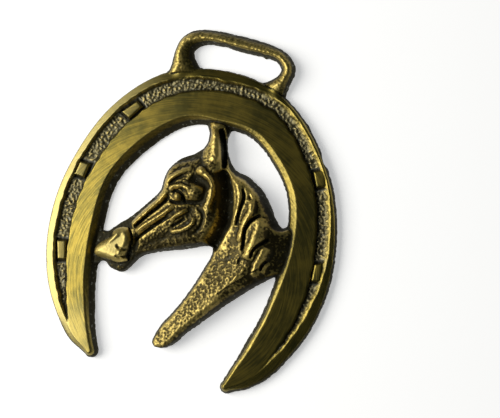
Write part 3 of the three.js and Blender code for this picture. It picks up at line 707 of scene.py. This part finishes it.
def set_attribute(name, values, elsewhere):
    """A value for each point: read from the grid on top, and one value for the walls and back."""
    made = np.full(len(points), float(elsewhere))
    made[:top_count] = grid_values(values, points[:top_count])
    mesh.attributes.new(name, "FLOAT", "POINT").data.foreach_set("value", made)


def relief_over(scales):
    """How far the surface stands above its blurred self, over several radii."""
    inside = plan_depth > 0
    return sum(np.clip((heights - blurred(heights, radius, inside)) / scale, -1, 1)
               for radius, scale in scales)


# painted shade: the strap loop's outer half, right of its left foot, and the spots listed above
kept = 0.4 * (zones["loop"] > 0) * smoothstep(0.62, 0.35, zones["across"]) * (PLAN_X > -9)
for x, y, radius, amount in PAINTED_SHADE_SPOTS:
    kept = kept + amount * np.exp(-((PLAN_X - x) ** 2 + (PLAN_Y - y) ** 2) / radius ** 2)

set_attribute("hollow", -relief_over(DIRT_SCALES), 0.4)
set_attribute("grain", zones["grain"], 0.6)
set_attribute("cast", zones["cast"], 0.8)
set_attribute("pale", zones["pale"], 0)
set_attribute("shine", zones["shine"], 0)
# wear on the high points, less the painted shade
set_attribute("wear_and_shade", relief_over(WEAR_SCALES) * 0.5 - kept, -0.3)

# ---- Materials ------------------------------------------------------------------------------

POLISHED = (0.28, 0.212, 0.042, 1)         # the smooth web, and its darker patches
POLISHED_DARK = (0.115, 0.10, 0.028, 1)
BRIGHT = (0.50, 0.42, 0.16, 1)             # painted light on the left rim and tip, and on the rubbed muzzle
TARNISH = (0.055, 0.043, 0.016, 1)         # the cast skin
GROOVE_BASE = (0.17, 0.15, 0.08, 1)
WORN = (0.60, 0.46, 0.14, 1)               # high points of the cast skin
DIRT = (0.045, 0.040, 0.020, 1)
VERDIGRIS = (0.36, 0.37, 0.30, 1)
FINE, COARSE, BROAD = 2200, 420, 120       # noise scales, in features per metre
SCRATCHES, SPECKS = 2600, 1100
ARC_CENTRE_Y = -0.018                      # middle of the horseshoe's arc, in metres
ARC_STRETCH = 0.0016                       # a turn of one radian in the scratches' noise
BUMP_HEIGHT = 0.0001


def add(tree, kind, values=None, **settings):
    """A node with its settings, and its inputs set or linked."""
    made = tree.nodes.new(kind)
    for name, value in settings.items():
        setattr(made, name, value)
    for name, value in (values or {}).items():
        if isinstance(value, bpy.types.NodeSocket):
            tree.links.new(value, made.inputs[name])
        else:
            made.inputs[name].default_value = value
    return made


def principled(name):
    material = bpy.data.materials.new(name)
    material.use_nodes = True
    return material, material.node_tree, material.node_tree.nodes["Principled BSDF"]


def mix_colours(tree, factor, a, b):
    made = add(tree, "ShaderNodeMix", {0: factor, 6: a, 7: b}, data_type="RGBA")
    return made.outputs[2]


def maths(tree, operation, a, b, c=0.0):
    return add(tree, "ShaderNodeMath", {0: a, 1: b, 2: c}, operation=operation).outputs[0]


def span(tree, value, low, high, start=0.0, end=1.0):
    """value between low and high, brought to between start and end."""
    return add(tree, "ShaderNodeMapRange", {0: value, 1: low, 2: high, 3: start, 4: end}).outputs[0]


def speckle(tree, place, scale, detail=4):
    sizes = {"Vector": place, "Scale": scale, "Detail": detail}
    return add(tree, "ShaderNodeTexNoise", sizes).outputs["Fac"]


def round_the_arc(tree, place):
    """Coordinates that draw a noise out round the horseshoe's arc."""
    x_y = add(tree, "ShaderNodeSeparateXYZ", {0: place}).outputs
    from_centre = maths(tree, "SUBTRACT", x_y["Y"], ARC_CENTRE_Y)
    square = maths(tree, "MULTIPLY", from_centre, from_centre)
    radius = maths(tree, "SQRT", maths(tree, "MULTIPLY_ADD", x_y["X"], x_y["X"], square), 0)
    turn = maths(tree, "ARCTAN2", from_centre, x_y["X"])
    along = maths(tree, "MULTIPLY", turn, ARC_STRETCH)
    return add(tree, "ShaderNodeCombineXYZ", {0: radius, 1: along}).outputs[0]


def brass_material():
    material, tree, shader = principled("cast_brass")
    place = add(tree, "ShaderNodeTexCoord").outputs["Object"]
    hollow, grain, cast, wear_and_shade, pale, shine = (
        add(tree, "ShaderNodeAttribute", attribute_name=name).outputs["Fac"]
        for name in ("hollow", "grain", "cast", "wear_and_shade", "pale", "shine"))
    fine, coarse, broad = (speckle(tree, place, scale) for scale in (FINE, COARSE, BROAD))
    scratches = speckle(tree, round_the_arc(tree, place), SCRATCHES, 3)
    # polished brass with darker patches and scratches, and painted light on the left and muzzle
    mottled = maths(tree, "MULTIPLY", broad, 0.35)
    for layer, share in ((coarse, 0.2), (scratches, 0.45)):
        mottled = maths(tree, "MULTIPLY_ADD", layer, share, mottled)
    patches = span(tree, mottled, 0.43, 0.58)
    polished = mix_colours(tree, patches, POLISHED, POLISHED_DARK)
    polished = mix_colours(tree, shine, polished, BRIGHT)
    # dull tarnish on the cast skin, worn through on high points, darker where shade is painted
    worn = span(tree, maths(tree, "MULTIPLY_ADD", fine, 0.9, wear_and_shade), 0.48, 1.3)
    dull = mix_colours(tree, worn, mix_colours(tree, grain, TARNISH, GROOVE_BASE), WORN)
    skin = maths(tree, "MAXIMUM", cast, grain)
    metal = mix_colours(tree, skin, polished, dull)
    # dark dirt in the hollows, with pale verdigris specks in the deepest
    ragged = maths(tree, "MULTIPLY_ADD", fine, 0.9, -0.45)
    lodged = maths(tree, "MULTIPLY_ADD", grain, -1.0, hollow)
    dirt = span(tree, maths(tree, "ADD", lodged, ragged), 0.15, 0.95)
    specks = span(tree, speckle(tree, place, SPECKS, 3), 0.6, 0.7)
    bloom = maths(tree, "MULTIPLY", specks, span(tree, hollow, 0.5, 1.4, 0.0, 0.45))
    bloom = maths(tree, "MAXIMUM", bloom, maths(tree, "MULTIPLY", pale, fine))
    colour = mix_colours(tree, bloom, mix_colours(tree, dirt, metal, DIRT), VERDIGRIS)
    clean = maths(tree, "MULTIPLY_ADD", shine, 0.1, span(tree, skin, 0.0, 1.0, 0.4, 0.52))
    roughness = maths(tree, "MAXIMUM", clean, span(tree, dirt, 0.0, 1.0, 0.3, 0.75))
    metallic = maths(tree, "MULTIPLY", span(tree, dirt, 0.0, 1.0, 1.0, 0.8),
                     span(tree, bloom, 0.0, 0.5, 1.0, 0.2))
    relief = maths(tree, "MULTIPLY_ADD", fine, span(tree, skin, 0.0, 1.0, 0.25, 1.0),
                   maths(tree, "MULTIPLY_ADD", scratches, 0.8, coarse))
    bump = add(tree, "ShaderNodeBump", {"Height": relief, "Strength": 0.35, "Distance": BUMP_HEIGHT})
    for name, value in {"Base Color": colour, "Roughness": roughness, "Metallic": metallic,
                        "Normal": bump.outputs[0]}.items():
        tree.links.new(value, shader.inputs[name])
    return material


casting_object.data.materials.append(brass_material())
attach(casting_object, "root")
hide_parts("horse_brass")

# ---- Floor, light and camera ----------------------------------------------------------------

AIM = Vector((0.01285, 0.00152, 0.0))      # the table point in the middle of the picture
TO_CAMERA = Vector((0.1714, -0.0619, 0.9833))
CAMERA_UP = Vector((-0.1900, 0.9772, 0.0947))
DISTANCE = 0.3
LENS = 89.0
SENSOR = 36
FLOOR_SIZE = 3
FLOOR_GREY = (0.9, 0.9, 0.9, 1)
FLOOR_GLOW = 0.45                          # softens the shadow on the floor
ROOM_COLOUR = (0.72, 0.92, 1.0, 1)
ROOM_LIGHT = 0.055

bpy.ops.mesh.primitive_plane_add(size=FLOOR_SIZE)
floor = bpy.context.object
floor.name = "floor"
floor_material, _, floor_shader = principled("floor")
floor_shader.inputs["Base Color"].default_value = FLOOR_GREY
floor_shader.inputs["Roughness"].default_value = 0.9
floor_shader.inputs["Emission Color"].default_value = (1, 1, 1, 1)
floor_shader.inputs["Emission Strength"].default_value = FLOOR_GLOW
floor.data.materials.append(floor_material)


def area_light(name, azimuth, elevation, distance, size, power, colour):
    """A lamp that faces the casting. Azimuth 0 is towards +X, counterclockwise."""
    a, e = math.radians(azimuth), math.radians(elevation)
    away = Vector((math.cos(a) * math.cos(e), math.sin(a) * math.cos(e), math.sin(e)))
    lamp = bpy.data.lights.new(name, "AREA")
    lamp.shape, lamp.size, lamp.size_y = "RECTANGLE", size[0], size[1]
    lamp.energy, lamp.color = power, colour
    holder = bpy.data.objects.new(name, lamp)
    holder.location = away * distance
    holder.rotation_mode = "QUATERNION"
    holder.rotation_quaternion = away.to_track_quat("Z", "Y")
    bpy.context.scene.collection.objects.link(holder)


area_light("window", azimuth=187, elevation=40, distance=0.6, size=(0.5, 0.4), power=4.3,
           colour=(1.0, 0.98, 0.94))

world = bpy.data.worlds.new("room")
world.use_nodes = True
room = world.node_tree.nodes["Background"].inputs
room["Color"].default_value = ROOM_COLOUR
room["Strength"].default_value = ROOM_LIGHT
bpy.context.scene.world = world
bpy.context.scene.view_settings.view_transform = "Standard"

camera_data = bpy.data.cameras.new("camera")
camera_data.lens = LENS
camera_data.sensor_width = SENSOR
camera_data.clip_start = 0.01
camera = bpy.data.objects.new("camera", camera_data)
bpy.context.scene.collection.objects.link(camera)
back = TO_CAMERA.normalized()
right = CAMERA_UP.cross(back).normalized()
up = back.cross(right)
turned = Matrix((right, up, back)).transposed().to_4x4()
camera.matrix_world = Matrix.Translation(AIM + DISTANCE * back) @ turned
bpy.context.scene.camera = camera
